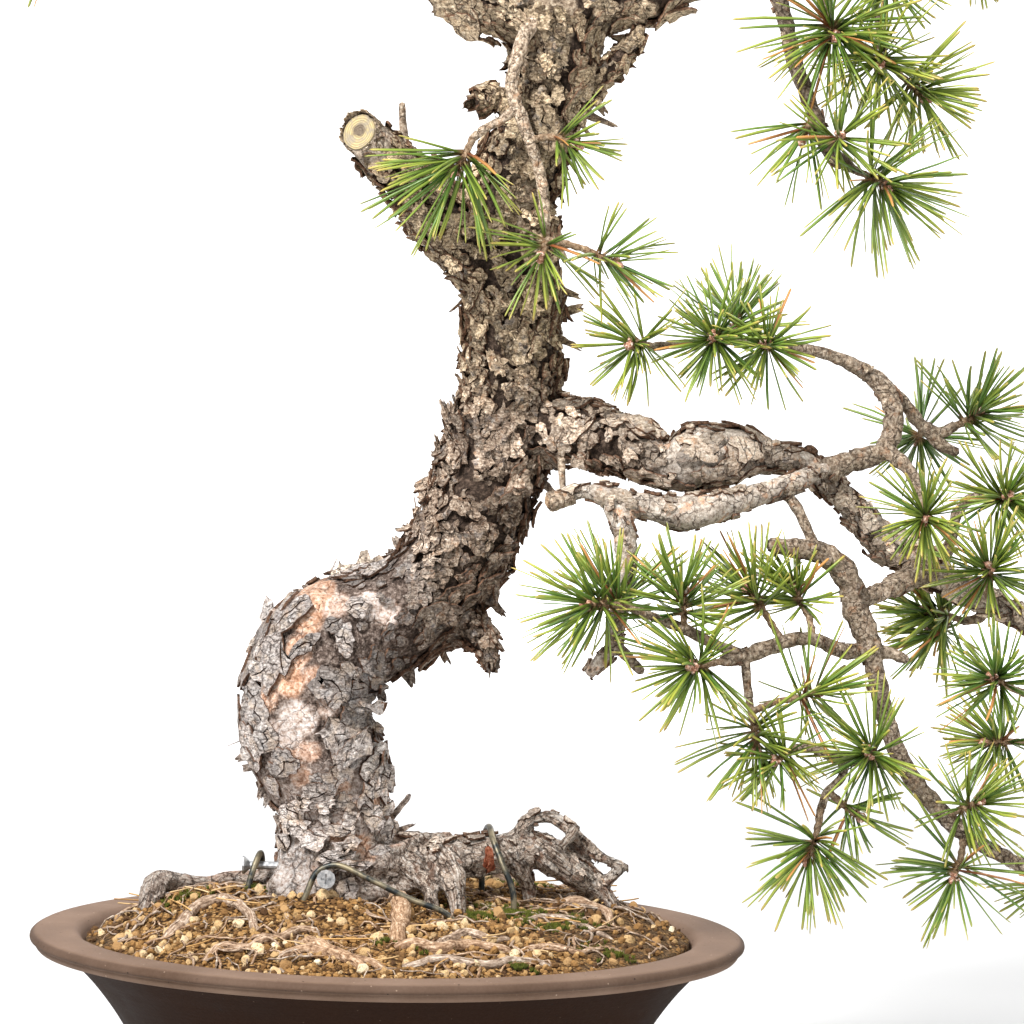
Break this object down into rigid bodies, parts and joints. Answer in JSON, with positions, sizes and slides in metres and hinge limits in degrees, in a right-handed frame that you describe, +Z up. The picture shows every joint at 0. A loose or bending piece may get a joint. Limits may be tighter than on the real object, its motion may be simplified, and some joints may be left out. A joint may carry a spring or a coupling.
{
  "type": "scots pine bonsai",
  "caption": "Leaning scots pine bonsai with plated bark, drooping front limbs and cascading needle sprays, in a round flared clay pot on feet",
  "frame": {"origin": "centre of the whole object's bounding box in plan, on the plane the pot's feet stand on", "axes": "+Z up along the pot's axis and the longest extent; +X to the right and +Y away from the viewer in the pictured view"},
  "size_m": [0.5818, 0.323, 0.6783],
  "materials": {
    "pot_clay": "unglazed dark stoneware, fine pale specks, slightly lighter lip",
    "potting_grit": "loose ochre clay grains and cream pumice with moss",
    "pine_wood": "deeply plated grey-brown bark, orange-pink inner bark, tan flaking upper bark",
    "pine_needles": "stiff green paired needles with yellow-green tips on scaly brown shoots",
    "anchor_wire": "dull dark bonsai wire with brassy rubbed places",
    "screw_steel": "galvanised screw with a star recess",
    "mesh_plastic": "black plastic drain mesh"
  },
  "bodies": {
    "root": {"pot": "pot_clay", "soil": "potting_grit", "tree_wood": "pine_wood", "drain_mesh": "mesh_plastic", "screw_front": "screw_steel", "screw_left": "screw_steel", "spray_arch_back": "pine_needles", "spray_arch_low": "pine_needles", "spray_arch_tip": "pine_needles", "spray_bottom_face": "pine_needles", "spray_bottom_left": "pine_needles", "spray_bottom_low": "pine_needles", "spray_bottom_spur": "pine_needles", "spray_cascade_face": "pine_needles", "spray_cascade_high": "pine_needles", "spray_cascade_middle": "pine_needles", "spray_cascade_outer": "pine_needles", "spray_cascade_outer_face": "pine_needles", "spray_cascade_small": "pine_needles", "spray_cascade_tip": "pine_needles", "spray_crown_high_left": "pine_needles", "spray_crown_high_right": "pine_needles", "spray_crown_left_a": "pine_needles", "spray_crown_left_b": "pine_needles", "spray_crown_left_c": "pine_needles", "spray_crown_left_d": "pine_needles", "spray_crown_left_tip": "pine_needles", "spray_crown_middle_left": "pine_needles", "spray_crown_middle_right": "pine_needles", "spray_crown_right_a": "pine_needles", "spray_crown_right_b": "pine_needles", "spray_crown_right_tip": "pine_needles", "spray_crown_top": "pine_needles", "spray_drop_left": "pine_needles", "spray_drop_right": "pine_needles", "spray_drop_tip": "pine_needles", "spray_far_left_back": "pine_needles", "spray_far_left_face": "pine_needles", "spray_far_left_inner": "pine_needles", "spray_far_left_tip": "pine_needles", "spray_first_face": "pine_needles", "spray_first_tip": "pine_needles", "spray_first_tip_up": "pine_needles", "spray_hanging_low": "pine_needles", "spray_hanging_side": "pine_needles", "spray_hanging_tip": "pine_needles", "spray_hanging_up": "pine_needles", "spray_low_left_face": "pine_needles", "spray_low_left_high": "pine_needles", "spray_low_left_middle": "pine_needles", "spray_low_left_root": "pine_needles", "spray_low_left_tip": "pine_needles", "spray_low_left_under": "pine_needles", "spray_right_down": "pine_needles", "spray_right_low": "pine_needles", "spray_right_up": "pine_needles", "spray_under_back": "pine_needles", "wire_front": "anchor_wire", "wire_left": "anchor_wire", "wire_root": "anchor_wire"}
  },
  "joints": []
}
